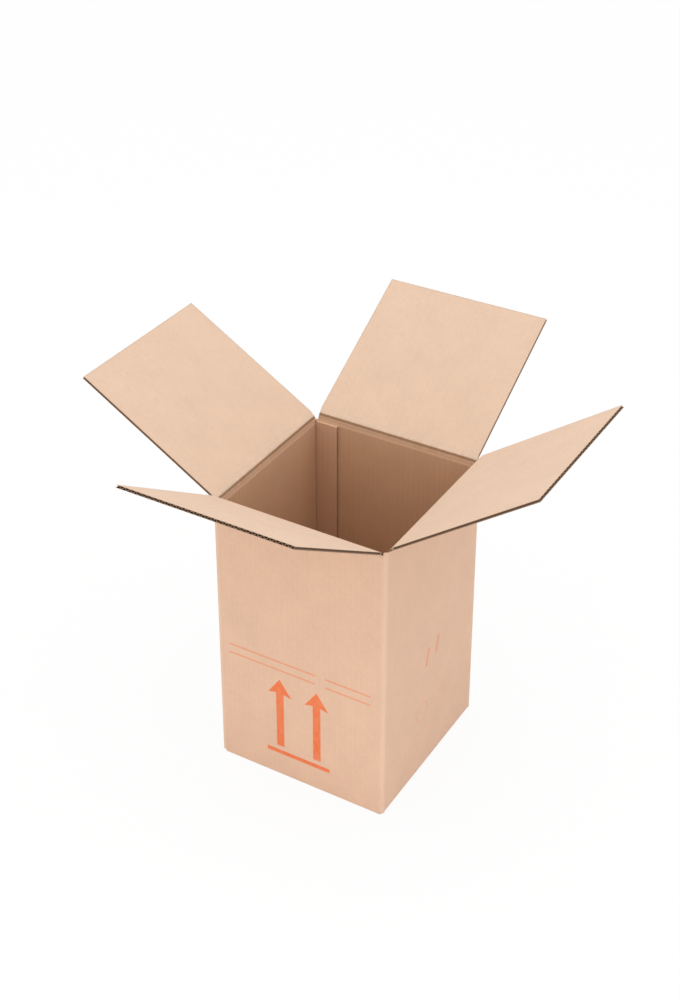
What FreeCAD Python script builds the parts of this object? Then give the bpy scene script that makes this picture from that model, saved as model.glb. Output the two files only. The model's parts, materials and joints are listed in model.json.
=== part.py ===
"""Bottle shipping box: a case folded and glued from one corrugated sheet, with four long top flaps.

The origin is on the floor under the middle of the case. X runs along the front wall, Y runs from
the front wall to the back wall and Z is up. The front wall faces -Y and the right wall faces +X.
Lengths are in millimetres and angles in degrees.
"""
import FreeCAD, Part
import Sketcher
import math
import os

# Turn from the front wall to the wall on its right, in degrees.
QUARTER_TURN = 90.0

# The driving dimensions: name, value and what it is.
DIMENSIONS = [
    ("outer_width", 205.0, "case outside, along X"),
    ("outer_depth", 205.0, "case outside, along Y"),
    ("first_crease", 332.5, "height of the lowest top crease, the left flap's"),
    ("board", 3.0, "thickness of the corrugated board"),
    ("layer_gap", 0.2, "play between two closed flaps that lie on each other"),
    ("hinge_play", 0.15, "how far each mitred edge stands off its crease"),
    ("top_flap", 191.0, "length of a top flap, from its crease to its free edge"),
    ("corner_slot", 4.0, "half the width of the slot between two flaps"),
    ("flap_play", 0.3, "play at each end of a flap, beside the board at its corner"),
    ("slot_depth", 1.0, "how far below a crease the floor of a top slot lies"),
    ("scored_board", 1.3, "thickness of the board where it is pressed at a crease"),
    ("score_reach", 7.0, "how far from its crease the board is back at full thickness"),
    ("slot_lift", 0.5, "how far a bottom slot reaches above the side creases"),
    ("fold_radius", 2.2, "outside radius of a folded edge"),
    ("seam_gap", 0.4, "gap where two bottom flaps meet"),
    ("tab_width", 27.0, "width of the glued tab inside the back wall"),
    ("tab_drop", 4.0, "how far the tab ends below the lowest crease"),
    ("tab_lift", 6.0, "how far the tab starts above the floor of the case"),
    ("flute_pitch", 6.35, "distance from one flute to the next"),
    ("liner", 0.35, "thickness of the inside and outside liner"),
    ("medium", 0.3, "thickness of the fluted paper"),
    ("flute_lean", 1.0, "sideways run of a flute's flank for each unit of height"),
    ("closed_flute", 8.0, "how far from its crease a flap's flutes are pressed shut"),
    ("left_angle", 59.0, "angle of the left flap, outwards from upright"),
    ("back_angle", 60.0, "angle of the back flap, outwards from upright"),
    ("front_angle", 57.0, "angle of the front flap, outwards from upright"),
    ("right_angle", 54.5, "angle of the right flap, outwards from upright"),
]


class Size:
    """A number together with the formula that gives it from the sheet of dimensions."""

    def __init__(self, value, formula):
        self.value = value
        self.formula = formula

    def joined(self, other, sign, value):
        text = other.formula if isinstance(other, Size) else repr(other)
        return Size(value, f"({self.formula} {sign} {text})")

    def __add__(self, other):
        return self.joined(other, "+", self.value + number(other))

    def __radd__(self, other):
        return self + other

    def __sub__(self, other):
        return self.joined(other, "-", self.value - number(other))

    def __mul__(self, other):
        return self.joined(other, "*", self.value * number(other))

    def __truediv__(self, other):
        return self.joined(other, "/", self.value / number(other))

    def __neg__(self):
        return Size(-self.value, f"(-1 * {self.formula})")

    def root(self):
        return Size(math.sqrt(self.value), f"sqrt({self.formula})")

    def whole(self):
        return Size(math.floor(self.value), f"floor({self.formula})")


def number(size):
    """The plain number behind a Size, or the number itself."""
    return size.value if isinstance(size, Size) else float(size)


def write_sheet(doc):
    """Fill the spreadsheet with the driving dimensions and return them as Sizes by name."""
    sheet = doc.addObject("Spreadsheet::Sheet", "Dimensions")
    sizes = {}
    for row, (alias, value, meaning) in enumerate(DIMENSIONS, start=1):
        sheet.set(f"A{row}", alias)
        sheet.set(f"B{row}", str(value))
        sheet.set(f"C{row}", meaning)
        sheet.setAlias(f"B{row}", alias)
    doc.recompute()
    for alias, _, _ in DIMENSIONS:
        sizes[alias] = Size(float(sheet.get(alias)), f"Dimensions.{alias}")
    return sizes


def origin_plane(body, role):
    """One of the body's own origin planes."""
    return next(feature for feature in body.Origin.OriginFeatures if feature.Role == role)


def pin_point(sketch, edge, end, x, y):
    """Fix one end of an edge of the sketch at x, y, both bound to the sheet."""
    for kind, axis, size in (("DistanceX", -2, x), ("DistanceY", -1, y)):
        if abs(number(size)) < 1e-9:
            sketch.addConstraint(Sketcher.Constraint("PointOnObject", edge, end, axis))
            continue
        index = sketch.addConstraint(Sketcher.Constraint(kind, -1, 1, edge, end, number(size)))
        if isinstance(size, Size):
            sketch.setExpression(f"Constraints[{index}]", size.formula)


def fold_arc(start, end, centre, radius):
    """The short arc about centre from start to end, with its ends in the order the arc has them."""
    first = math.atan2(start[1] - centre[1], start[0] - centre[0])
    last = math.atan2(end[1] - centre[1], end[0] - centre[0])
    turn = (last - first) % (2 * math.pi)
    forwards = turn < math.pi
    low, high = (first, last) if forwards else (last, first)
    circle = Part.Circle(FreeCAD.Vector(centre[0], centre[1], 0), FreeCAD.Vector(0, 0, 1), radius)
    return Part.ArcOfCircle(circle, low, high if high > low else high + 2 * math.pi), forwards


def draw_loop(sketch, corners):
    """Draw one closed outline.

    A corner is (x, y), or (x, y, centre_x, centre_y, radius) where a round fold runs from this
    corner to the next one.
    """
    points = [FreeCAD.Vector(number(corner[0]), number(corner[1]), 0) for corner in corners]
    ends = []
    for index, corner in enumerate(corners):
        start = points[index]
        end = points[(index + 1) % len(points)]
        if len(corner) == 2:
            edge = sketch.addGeometry(Part.LineSegment(start, end), False)
            ends.append((edge, 1, 2))
            continue
        centre = (number(corner[2]), number(corner[3]))
        arc, forwards = fold_arc(start, end, centre, number(corner[4]))
        edge = sketch.addGeometry(arc, False)
        ends.append((edge, 1, 2) if forwards else (edge, 2, 1))
        radius = sketch.addConstraint(Sketcher.Constraint("Radius", edge, number(corner[4])))
        sketch.setExpression(f"Constraints[{radius}]", corner[4].formula)
    for index, (edge, first, _) in enumerate(ends):
        before, _, last = ends[index - 1]
        sketch.addConstraint(Sketcher.Constraint("Coincident", before, last, edge, first))
        pin_point(sketch, edge, first, corners[index][0], corners[index][1])


def new_sketch(body, name, role, lift=None):
    """An empty sketch on an origin plane of the body, raised by lift along the plane's normal."""
    sketch = body.newObject("Sketcher::SketchObject", name)
    sketch.AttachmentSupport = (origin_plane(body, role), [""])
    sketch.MapMode = "FlatFace"
    if lift is not None:
        sketch.AttachmentOffset = FreeCAD.Placement(FreeCAD.Vector(0, 0, number(lift)), FreeCAD.Rotation())
        sketch.setExpression(".AttachmentOffset.Base.z", lift.formula)
    return sketch


def pad(body, name, sketch, length, symmetric=False):
    """Pad a sketch by a bound length, to one side or to both."""
    feature = body.newObject("PartDesign::Pad", name)
    feature.Profile = sketch
    feature.Length = number(length)
    feature.setExpression("Length", length.formula)
    if symmetric:
        feature.SideType = "Symmetric"
    body.Document.recompute()
    return feature


def wall_top(outside, inward, base, crease, sizes):
    """Outline of the top of a wall: pressed thin on the inside and mitred up to its crease."""
    scored = sizes["scored_board"]
    inside = outside + sizes["board"] * inward
    tip = crease - sizes["hinge_play"]
    return [
        (outside, base),
        (outside, tip),
        (outside + scored * inward, tip - scored),
        (inside, crease - sizes["score_reach"]),
        (inside, base),
    ]


def bottom_fold(outside, inward, meet, floor, base, sizes):
    """Outline of a wall's foot that folds round into its bottom flap."""
    board = sizes["board"]
    radius = sizes["fold_radius"]
    turn = outside + radius * inward
    inside = outside + board * inward
    return [
        (outside, base),
        (outside, floor + radius, turn, floor + radius, radius),
        (turn, floor),
        (meet, floor),
        (meet, floor + board),
        (inside, floor + board),
        (inside, base),
    ]


def corner_post(side_x, side_y, sizes):
    """Plan of the board round a folded corner, between the slots on its two walls."""
    board = sizes["board"]
    radius = sizes["fold_radius"]
    slot = sizes["corner_slot"]
    edge_x = sizes["outer_width"] * (0.5 * side_x)
    edge_y = sizes["outer_depth"] * (0.5 * side_y)
    near_x = edge_x - radius * side_x
    near_y = edge_y - radius * side_y
    return [
        (edge_x - slot * side_x, edge_y),
        (near_x, edge_y, near_x, near_y, radius),
        (edge_x, near_y),
        (edge_x, edge_y - slot * side_y),
        (edge_x - board * side_x, edge_y - slot * side_y),
        (edge_x - board * side_x, edge_y - board * side_y),
        (edge_x - slot * side_x, edge_y - board * side_y),
    ]


def glued_corner(sizes):
    """Plan of the board at the glued corner: the back wall's cut end and the fold of the tab."""
    board = sizes["board"]
    slot = sizes["corner_slot"]
    edge_x = -sizes["outer_width"] * 0.5
    edge_y = sizes["outer_depth"] * 0.5
    return [
        (edge_x, edge_y),
        (edge_x, edge_y - board),
        (edge_x + sizes["fold_radius"], edge_y - board),
        (edge_x + sizes["fold_radius"] - slot + board, edge_y - slot),
        (edge_x + board, edge_y - slot),
        (edge_x + board, edge_y - board),
        (edge_x + slot, edge_y - board),
        (edge_x + slot, edge_y),
    ]


def wall_ring(sizes):
    """Plan of the four walls: three round folds, and the cut end of the back wall at the fourth."""
    board = sizes["board"]
    radius = sizes["fold_radius"]
    x = sizes["outer_width"] * 0.5
    y = sizes["outer_depth"] * 0.5
    outside = [
        (radius - x, -y),
        (x - radius, -y, x - radius, radius - y, radius),
        (x, radius - y),
        (x, y - radius, x - radius, y - radius, radius),
        (x - radius, y),
        (-x, y),
        (-x, y - board),
        (radius - x, y - board),
        (-x, y - board - radius),
        (-x, radius - y, radius - x, radius - y, radius),
    ]
    inside = [
        (board - x, board - y),
        (x - board, board - y),
        (x - board, y - board),
        (board - x, y - board),
    ]
    return [outside, inside]


def creases(sizes):
    """Height of each top crease: each is one closed flap higher than the one before."""
    step = sizes["board"] + sizes["layer_gap"]
    left = sizes["first_crease"]
    back = left + step
    front = back + step
    right = front + step
    return {"left": left, "back": back, "front": front, "right": right}


def make_case(doc, sizes):
    """The folded sheet without its top flaps: four walls, the glued tab and the closed bottom."""
    body = doc.addObject("PartDesign::Body", "Case")
    body.Label = "case"
    board = sizes["board"]
    half_x = sizes["outer_width"] * 0.5
    half_y = sizes["outer_depth"] * 0.5
    flap_x = sizes["outer_width"] - sizes["corner_slot"] * 2
    flap_y = sizes["outer_depth"] - sizes["corner_slot"] * 2
    crease = creases(sizes)
    heel = board + sizes["slot_lift"]
    foot = board * 2.0
    shoulder = crease["left"] - sizes["score_reach"] - sizes["slot_depth"]

    ring = new_sketch(body, "WallPlan", "XY_Plane", foot)
    for loop in wall_ring(sizes):
        draw_loop(ring, loop)
    pad(body, "Walls", ring, shoulder - foot)

    front_left = corner_post(-1, -1, sizes)
    front_right = corner_post(1, -1, sizes)
    back_right = corner_post(1, 1, sizes)
    back_left = glued_corner(sizes)
    corners = (
        ("BackLeftTop", back_left, shoulder, crease["left"] - board - sizes["slot_depth"]),
        ("FrontLeftTop", front_left, shoulder, crease["left"] - sizes["slot_depth"]),
        ("FrontRightTop", front_right, shoulder, crease["right"] - sizes["slot_depth"]),
        ("BackRightTop", back_right, shoulder, crease["back"] - sizes["slot_depth"]),
        ("FrontLeftFoot", front_left, heel, foot),
        ("FrontRightFoot", front_right, heel, foot),
        ("BackRightFoot", back_right, heel, foot),
        ("BackLeftFoot", back_left, heel, foot),
    )
    for name, plan, low, high in corners:
        sketch = new_sketch(body, f"{name}Plan", "XY_Plane", low)
        draw_loop(sketch, plan)
        pad(body, name, sketch, high - low)

    tops = new_sketch(body, "FrontBackTops", "YZ_Plane")
    draw_loop(tops, wall_top(-half_y, 1, shoulder, crease["front"], sizes))
    draw_loop(tops, wall_top(half_y, -1, shoulder, crease["back"], sizes))
    pad(body, "FrontBackCreases", tops, flap_x, True)

    tops = new_sketch(body, "LeftRightTops", "XZ_Plane")
    draw_loop(tops, wall_top(-half_x, 1, shoulder, crease["left"], sizes))
    draw_loop(tops, wall_top(half_x, -1, shoulder, crease["right"], sizes))
    pad(body, "LeftRightCreases", tops, flap_y, True)

    seam = sizes["seam_gap"] * 0.5
    outer = new_sketch(body, "OuterBottomFlaps", "YZ_Plane")
    draw_loop(outer, bottom_fold(-half_y, 1, -seam, 0.0, foot, sizes))
    draw_loop(outer, bottom_fold(half_y, -1, seam, 0.0, foot, sizes))
    pad(body, "OuterBottom", outer, flap_x, True)

    inner = new_sketch(body, "InnerBottomFlaps", "XZ_Plane")
    lap = foot + board
    draw_loop(inner, bottom_fold(-half_x, 1, -seam, board, lap, sizes))
    draw_loop(inner, bottom_fold(half_x, -1, seam, board, lap, sizes))
    pad(body, "InnerBottom", inner, flap_y, True)

    tab_floor = board * 2.0 + sizes["tab_lift"]
    tab = new_sketch(body, "TabPlan", "XY_Plane", tab_floor)
    tab_start = board - half_x
    tab_face = half_y - board * 2.0
    draw_loop(tab, [
        (tab_start, tab_face),
        (tab_start + sizes["tab_width"], tab_face),
        (tab_start + sizes["tab_width"], half_y - board),
        (tab_start, half_y - board),
    ])
    pad(body, "GluedTab", tab, crease["left"] - sizes["tab_drop"] - tab_floor)
    return body


def flute_channel(sketch, centre, base, rise, sizes):
    """The air under one flute: a flat base on a liner, two leaning flanks and a round crest."""
    pitch = sizes["flute_pitch"]
    lean = sizes["flute_lean"]
    height = sizes["board"] - sizes["liner"] * 2.0 - sizes["medium"]
    slant = (lean * lean + 1.0).root()
    middle = pitch / 4.0 - sizes["medium"] * slant / 2.0
    half_base = middle + height * lean / 2.0
    half_crest = middle - height * lean / 2.0
    radius = half_crest / (slant - lean)
    hub = base + (height - radius) * rise
    reach = radius / slant
    drop = radius * lean / slant
    left = FreeCAD.Vector(number(centre - half_base), number(base), 0)
    right = FreeCAD.Vector(number(centre + half_base), number(base), 0)
    touch = number(hub + drop * rise)
    touch_left = FreeCAD.Vector(number(centre - reach), touch, 0)
    touch_right = FreeCAD.Vector(number(centre + reach), touch, 0)
    crest, forwards = fold_arc(touch_right, touch_left, (number(centre), number(hub)), number(radius))
    floor = sketch.addGeometry(Part.LineSegment(left, right), False)
    up = sketch.addGeometry(Part.LineSegment(right, touch_right), False)
    arc = sketch.addGeometry(crest, False)
    down = sketch.addGeometry(Part.LineSegment(touch_left, left), False)
    near, far = (1, 2) if forwards else (2, 1)
    sketch.addConstraint(Sketcher.Constraint("Coincident", floor, 2, up, 1))
    sketch.addConstraint(Sketcher.Constraint("Coincident", down, 2, floor, 1))
    sketch.addConstraint(Sketcher.Constraint("Tangent", up, 2, arc, near))
    sketch.addConstraint(Sketcher.Constraint("Tangent", arc, far, down, 1))
    size = sketch.addConstraint(Sketcher.Constraint("Radius", arc, number(radius)))
    sketch.setExpression(f"Constraints[{size}]", radius.formula)
    pin_point(sketch, floor, 1, centre - half_base, base)
    pin_point(sketch, floor, 2, centre + half_base, base)
    pin_point(sketch, arc, 3, centre, hub)


def make_flap(doc, label, width, sizes):
    """A top flap, upright on its crease: pressed thin there, with flutes open at its free edge."""
    body = doc.addObject("PartDesign::Body", label.title().replace("_", ""))
    body.Label = label
    board = sizes["board"]
    length = sizes["top_flap"]
    root = sizes["hinge_play"]
    scored = sizes["scored_board"]

    side = new_sketch(body, "BoardSide", "YZ_Plane")
    draw_loop(side, [
        (0.0, root),
        (scored, root + scored),
        (board, sizes["score_reach"]),
        (board, length),
        (0.0, length),
    ])
    plate = pad(body, "Board", side, width, True)
    whole = plate.Shape.Volume

    pitch = sizes["flute_pitch"]
    flutes = (width / pitch).whole()
    first = -(flutes * pitch / 2.0) - pitch
    ends = new_sketch(body, "FluteEnds", "XY_Plane", length)
    flute_channel(ends, first, sizes["liner"], 1.0, sizes)
    flute_channel(ends, first + pitch / 2.0, board - sizes["liner"], -1.0, sizes)
    channel = body.newObject("PartDesign::Pocket", "Flute")
    channel.Profile = ends
    depth = length - sizes["closed_flute"]
    channel.Length = number(depth)
    channel.setExpression("Length", depth.formula)
    doc.recompute()
    row = body.newObject("PartDesign::LinearPattern", "Flutes")
    row.Originals = [channel]
    row.Direction = (ends, ["H_Axis"])
    row.setExpression("Length", ((flutes + 1.0) * pitch).formula)
    row.setExpression("Occurrences", (flutes + 2.0).formula)
    body.Tip = row
    doc.recompute()
    if row.Shape.Volume > 0.7 * whole:
        raise RuntimeError(f"{label}: the flutes did not cut the board")
    return body


def place_flap(body, hinge, turn, open_angle):
    """Stand a flap on its crease, turn it to its wall and lean it outwards."""
    facing = FreeCAD.Rotation(FreeCAD.Vector(0, 0, 1), turn)
    leaning = FreeCAD.Rotation(FreeCAD.Vector(1, 0, 0), number(open_angle))
    body.Placement = FreeCAD.Placement(FreeCAD.Vector(*(number(value) for value in hinge)), facing * leaning)


def make_flaps(doc, sizes):
    """The four top flaps, each on the crease of its own wall."""
    half_x = sizes["outer_width"] * 0.5
    half_y = sizes["outer_depth"] * 0.5
    end = sizes["corner_slot"] + sizes["flap_play"]
    flap_x = sizes["outer_width"] - end * 2.0
    flap_y = sizes["outer_depth"] - end * 2.0
    crease = creases(sizes)
    walls = (
        ("left", flap_y, (-half_x, 0.0, crease["left"]), -QUARTER_TURN),
        ("back", flap_x, (0.0, half_y, crease["back"]), QUARTER_TURN * 2),
        ("front", flap_x, (0.0, -half_y, crease["front"]), 0.0),
        ("right", flap_y, (half_x, 0.0, crease["right"]), QUARTER_TURN),
    )
    bodies = []
    for side, width, hinge, turn in walls:
        body = make_flap(doc, f"{side}_flap", width, sizes)
        place_flap(body, hinge, turn, sizes[f"{side}_angle"])
        bodies.append(body)
    return bodies


def check_model(doc, parts):
    """Stop if any object failed or any sub-part is not one valid solid."""
    for item in doc.Objects:
        if "Invalid" in item.State or "Error" in item.State:
            raise RuntimeError(f"{item.Name}: {item.State}")
    for part in parts:
        shape = part.Shape
        if shape.isNull() or not shape.isValid() or len(shape.Solids) != 1:
            raise RuntimeError(f"{part.Label}: not one valid solid")


def main():
    doc = FreeCAD.newDocument("BottleBox")
    sizes = write_sheet(doc)
    parts = [make_case(doc, sizes)] + make_flaps(doc, sizes)
    doc.recompute()
    check_model(doc, parts)
    os.makedirs("parts", exist_ok=True)
    for part in parts:
        part.Shape.exportStep(f"parts/{part.Label}.step")
        print(part.Label, "volume", round(part.Shape.Volume), "box", part.Shape.BoundBox)


main()
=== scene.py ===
"""Looks of the bottle shipping box: kraft paper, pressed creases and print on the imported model.

Lengths are in metres, in the model's own frame: the origin on the floor under the middle of the
case, the front wall facing -Y, the right wall facing +X and Z up.
"""

import json
import logging
import math
from dataclasses import dataclass, field
from enum import Enum
from typing import Optional, Sequence, Union

import bmesh
import bpy
from mathutils import Matrix, Vector
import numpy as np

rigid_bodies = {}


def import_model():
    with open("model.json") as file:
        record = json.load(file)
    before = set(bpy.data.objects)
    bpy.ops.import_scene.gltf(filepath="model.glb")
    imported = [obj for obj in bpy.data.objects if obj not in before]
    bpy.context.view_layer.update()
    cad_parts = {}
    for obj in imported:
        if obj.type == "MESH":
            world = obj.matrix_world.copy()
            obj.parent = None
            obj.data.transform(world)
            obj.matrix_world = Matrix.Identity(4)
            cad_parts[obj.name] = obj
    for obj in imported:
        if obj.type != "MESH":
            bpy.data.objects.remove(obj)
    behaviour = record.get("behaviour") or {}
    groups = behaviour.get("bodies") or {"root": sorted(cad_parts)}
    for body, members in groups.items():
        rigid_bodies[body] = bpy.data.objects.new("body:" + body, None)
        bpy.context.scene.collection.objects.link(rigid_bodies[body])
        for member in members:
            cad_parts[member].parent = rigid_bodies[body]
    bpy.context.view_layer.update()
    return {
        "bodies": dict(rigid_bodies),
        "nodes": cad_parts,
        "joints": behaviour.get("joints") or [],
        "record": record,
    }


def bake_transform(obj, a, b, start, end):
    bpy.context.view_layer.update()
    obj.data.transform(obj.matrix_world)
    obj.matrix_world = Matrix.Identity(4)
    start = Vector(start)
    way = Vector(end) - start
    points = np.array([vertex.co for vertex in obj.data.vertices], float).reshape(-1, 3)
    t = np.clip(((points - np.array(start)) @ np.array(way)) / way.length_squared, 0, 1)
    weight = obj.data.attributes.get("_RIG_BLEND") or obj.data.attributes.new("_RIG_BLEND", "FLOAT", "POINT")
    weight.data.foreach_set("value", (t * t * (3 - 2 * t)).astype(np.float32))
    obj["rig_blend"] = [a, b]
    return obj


LOG = logging.getLogger("bottle_box")
MM = 0.001

Socket = bpy.types.NodeSocket
Value = Union[Socket, float, Sequence[float]]
Colour = tuple[float, float, float]
Reach = tuple[float, float]


class Wall(Enum):
    """The four walls, each with its outward direction in plan."""

    LEFT = (-1.0, 0.0)
    BACK = (0.0, 1.0)
    FRONT = (0.0, -1.0)
    RIGHT = (1.0, 0.0)

    @property
    def node(self) -> str:
        """Name of the flap on this wall, which is also the name of its body."""
        return f"{self.name.lower()}_flap"

    @property
    def outward(self) -> Vector:
        """Outward direction of the wall."""
        return Vector((self.value[0], self.value[1], 0.0))

    @property
    def along(self) -> Vector:
        """Direction along the crease, with the outward direction on its left."""
        return Vector((self.value[1], -self.value[0], 0.0))


@dataclass(frozen=True)
class Board:
    """The corrugated board and the case folded from it."""

    thickness: float = 3.0 * MM
    scored: float = 1.3 * MM
    score_reach: float = 7.0 * MM
    hinge_play: float = 0.15 * MM
    flute_pitch: float = 6.35 * MM
    half_width: float = 102.5 * MM
    flap_half_width: float = 98.2 * MM
    flap_length: float = 191.0 * MM
    floor_top: float = 6.0 * MM
    tab_width: float = 27.0 * MM

    def pressed_depth(self, distance: float) -> float:
        """Thickness of the pressed board at a distance from its crease.

        Args:
            distance: Distance from the hinge line.

        Returns:
            The thickness left.
        """
        start = self.scored + self.hinge_play
        slope = (self.thickness - self.scored) / (self.score_reach - start)
        return self.scored + (distance - start) * slope


@dataclass(frozen=True)
class Crease:
    """One top crease: where its hinge line lies, and how far its flap is open at rest."""

    wall: Wall
    height: float
    open_deg: float

    @property
    def hinge(self) -> Vector:
        """Middle of the hinge line, in the outer face of the wall."""
        return self.wall.outward * BOARD.half_width + Vector((0.0, 0.0, self.height))

    def wall_frame(self) -> Matrix:
        """Axes along the crease, up the wall and into the board, as columns."""
        return self.frame(0.0)

    def flap_frame(self) -> Matrix:
        """Axes along the crease, towards the free edge and into the board, as columns."""
        return self.frame(self.open_deg)

    def frame(self, angle_deg: float) -> Matrix:
        """Axes of a panel that leans outwards from the crease.

        Args:
            angle_deg: Lean of the panel from upright, outwards.

        Returns:
            A matrix from (along, away from the crease, into the board) to the model's frame.
        """
        lean = math.radians(angle_deg)
        up = Vector((0.0, 0.0, 1.0))
        away = self.wall.outward * math.sin(lean) + up * math.cos(lean)
        inward = up * math.sin(lean) - self.wall.outward * math.cos(lean)
        axes = Matrix((self.wall.along, away, inward)).transposed().to_4x4()
        return Matrix.Translation(self.hinge) @ axes


BOARD = Board()
CREASES = (
    Crease(Wall.LEFT, 332.5 * MM, 59.0),
    Crease(Wall.BACK, 335.7 * MM, 60.0),
    Crease(Wall.FRONT, 338.9 * MM, 57.0),
    Crease(Wall.RIGHT, 342.1 * MM, 54.5),
)


class Graph:
    """A node tree with short typed calls for the nodes that the finishes are made of."""

    def __init__(self, tree: bpy.types.NodeTree) -> None:
        """Keep the tree and its links.

        Args:
            tree: The material's or group's own node tree.
        """
        self.tree = tree

    def node(self, kind: str, **settings: object) -> bpy.types.Node:
        """Add a node.

        Args:
            kind: Blender's name for the node.
            settings: Properties of the node to set.

        Returns:
            The new node.
        """
        made = self.tree.nodes.new(kind)
        for name, value in settings.items():
            setattr(made, name, value)
        return made

    def feed(self, socket: Socket, value: Value) -> None:
        """Link a socket into another, or set its plain value.

        Args:
            socket: The socket that takes the value.
            value: Another node's socket, or a plain value.
        """
        if isinstance(value, bpy.types.NodeSocket):
            self.tree.links.new(value, socket)
        else:
            socket.default_value = value

    def math(self, operation: str, *values: Value) -> Socket:
        """A Math node.

        Args:
            operation: The sum that it does.
            values: Its inputs in order.

        Returns:
            The result.
        """
        made = self.node("ShaderNodeMath", operation=operation)
        for socket, value in zip(made.inputs, values):
            self.feed(socket, value)
        return made.outputs[0]

    def chain(self, operation: str, values: Sequence[Value]) -> Socket:
        """Take the values two by two through Math nodes.

        Args:
            operation: The sum that each node does.
            values: Sockets or numbers.

        Returns:
            The result, or the value itself where there is only one.
        """
        result = values[0]
        for value in values[1:]:
            result = self.math(operation, result, value)
        return result

    def total(self, *values: Value) -> Socket:
        """All the values added together."""
        return self.chain("ADD", values)

    def product(self, *values: Value) -> Socket:
        """All the values multiplied together."""
        return self.chain("MULTIPLY", values)

    def highest(self, *values: Value) -> Socket:
        """The greatest of the values."""
        return self.chain("MAXIMUM", values)

    def ramp(self, value: Value, start: float, end: float, low: float = 0.0, high: float = 1.0) -> Socket:
        """A smooth change from low to high while value goes from start to end.

        Args:
            value: What is measured.
            start: Its value where the change starts.
            end: Its value where the change ends, above or below the start.
            low: The result at the start.
            high: The result at the end.

        Returns:
            The result.
        """
        made = self.node("ShaderNodeMapRange", interpolation_type="SMOOTHSTEP")
        for name, given in (("Value", value), ("From Min", start), ("From Max", end)):
            self.feed(made.inputs[name], given)
        self.feed(made.inputs["To Min"], low)
        self.feed(made.inputs["To Max"], high)
        return made.outputs["Result"]

    def facing(self, part: Socket, sign: float) -> Socket:
        """1 on faces that point along an axis, from that part of their direction."""
        return self.ramp(part, sign * 0.8, sign * 0.9)

    def split(self, vector: Value) -> tuple[Socket, Socket, Socket]:
        """The three parts of a vector.

        Args:
            vector: The vector.

        Returns:
            Its X, Y and Z.
        """
        made = self.node("ShaderNodeSeparateXYZ")
        self.feed(made.inputs[0], vector)
        return made.outputs[0], made.outputs[1], made.outputs[2]

    def join(self, x: Value, y: Value, z: Value) -> Socket:
        """A vector from its three parts.

        Args:
            x: The first part.
            y: The second part.
            z: The third part.

        Returns:
            The vector.
        """
        made = self.node("ShaderNodeCombineXYZ")
        for socket, value in zip(made.inputs, (x, y, z)):
            self.feed(socket, value)
        return made.outputs[0]

    def scaled(self, vector: Value, scale: Sequence[float]) -> Socket:
        """A vector with each part scaled.

        Args:
            vector: The vector.
            scale: A scale for each part.

        Returns:
            The scaled vector.
        """
        made = self.node("ShaderNodeVectorMath", operation="MULTIPLY")
        self.feed(made.inputs[0], vector)
        made.inputs[1].default_value = scale
        return made.outputs[0]

    def noise(self, vector: Value, scale: float, detail: float = 2.0, roughness: float = 0.5) -> Socket:
        """Noise from 0 to 1 at a scale in waves a metre.

        Args:
            vector: Where it is read.
            scale: Waves a metre.
            detail: Finer layers over the first.
            roughness: How strong the finer layers are.

        Returns:
            The noise.
        """
        made = self.node("ShaderNodeTexNoise")
        self.feed(made.inputs["Vector"], vector)
        made.inputs["Scale"].default_value = scale
        made.inputs["Detail"].default_value = detail
        made.inputs["Roughness"].default_value = roughness
        return made.outputs["Fac"]

    def blend(self, mask: Value, first: Value, second: Value, mode: str = "MIX") -> Socket:
        """Mix two colours by a mask.

        Args:
            mask: 0 for the first colour and 1 for the second.
            first: The colour below.
            second: The colour above.
            mode: How the second colour goes over the first.

        Returns:
            The mixed colour.
        """
        made = self.node("ShaderNodeMix", data_type="RGBA", blend_type=mode, clamp_factor=True)
        self.feed(made.inputs[0], mask)
        for socket, value in ((made.inputs[6], first), (made.inputs[7], second)):
            self.feed(socket, value if isinstance(value, bpy.types.NodeSocket) else (*value, 1.0))
        return made.outputs[2]

    def grey(self, value: Value) -> Socket:
        """A grey colour from one value.

        Args:
            value: Its red, green and blue.

        Returns:
            The colour.
        """
        made = self.node("ShaderNodeCombineColor")
        for socket in made.inputs:
            self.feed(socket, value)
        return made.outputs[0]


class Effect:
    """A shader node group that several finishes share."""

    title = "effect"
    takes: tuple[tuple[str, str], ...] = ()
    gives: tuple[tuple[str, str], ...] = ()

    def __init__(self) -> None:
        """Build the group once, with its named inputs and outputs."""
        self.tree = bpy.data.node_groups.new(self.title, "ShaderNodeTree")
        for in_out, sockets in (("INPUT", self.takes), ("OUTPUT", self.gives)):
            for name, kind in sockets:
                self.tree.interface.new_socket(name=name, in_out=in_out, socket_type=f"NodeSocket{kind}")
        graph = Graph(self.tree)
        start = graph.node("NodeGroupInput")
        end = graph.node("NodeGroupOutput")
        results = self.build(graph, {name: start.outputs[name] for name, _ in self.takes})
        for name, _ in self.gives:
            graph.feed(end.inputs[name], results[name])

    def build(self, graph: Graph, given: dict[str, Socket]) -> dict[str, Socket]:
        """Make the group's nodes.

        Args:
            graph: The group's own graph.
            given: The input sockets by name.

        Returns:
            The sockets for the group's outputs, by name.
        """
        raise NotImplementedError

    def place(self, graph: Graph, **values: Value) -> dict[str, Socket]:
        """Place the group in a material.

        Args:
            graph: The material's graph.
            values: A value or a socket for each input.

        Returns:
            The group's outputs by name.
        """
        made = graph.node("ShaderNodeGroup", node_tree=self.tree)
        for name, value in values.items():
            graph.feed(made.inputs[name], value)
        return {name: made.outputs[name] for name, _ in self.gives}


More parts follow.
